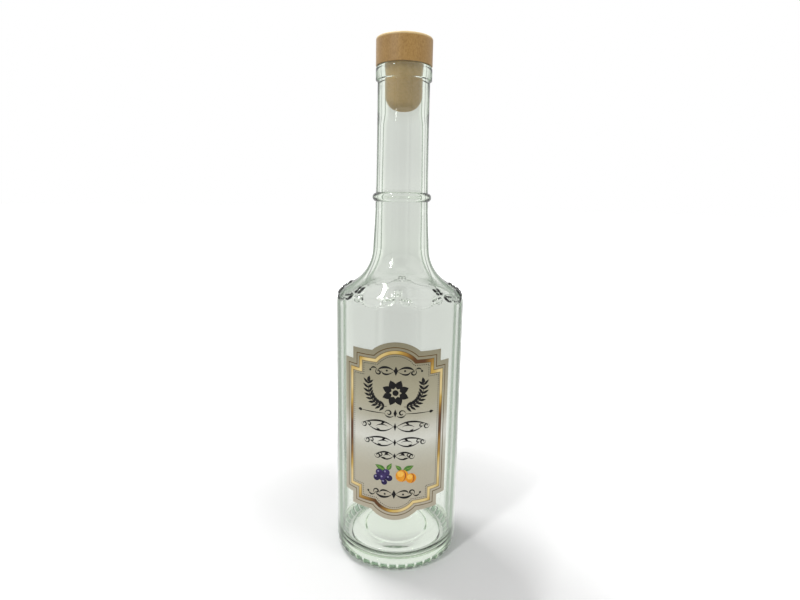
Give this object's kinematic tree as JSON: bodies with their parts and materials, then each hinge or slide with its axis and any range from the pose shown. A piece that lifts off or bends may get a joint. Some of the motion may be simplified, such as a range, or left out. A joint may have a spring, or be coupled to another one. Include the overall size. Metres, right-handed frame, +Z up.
{
  "type": "liquor bottle",
  "caption": "Clear glass spirit bottle with a round body, tall ringed neck, embossed shoulder, shaped metallised label and a lift-off wooden bar-top stopper.",
  "frame": {"origin": "middle of the base, on the plane that the bottle stands on", "axes": "+Z up along the bottle's axis, -Y out through the middle of the front label, +X to the label's right"},
  "size_m": [0.07, 0.0702, 0.2798],
  "materials": {
    "clear_glass": "polished clear flint glass with a faint green edge tint",
    "label_paper": "satin metallised silver-grey paper with a gold printed frame",
    "beech_wood": "turned, sealed, satin",
    "plug_polymer": "matt foamed synthetic stopper, tan"
  },
  "bodies": {
    "bottle": {"glass_bottle": "clear_glass", "front_label": "label_paper"},
    "stopper": {"stopper_head": "beech_wood", "stopper_plug": "plug_polymer"}
  },
  "joints": [
    {"name": "stopper_pull", "type": "slide", "parent": "bottle", "child": "stopper", "axis": [0, 0, 1], "range_m": [0, 0.024]}
  ]
}
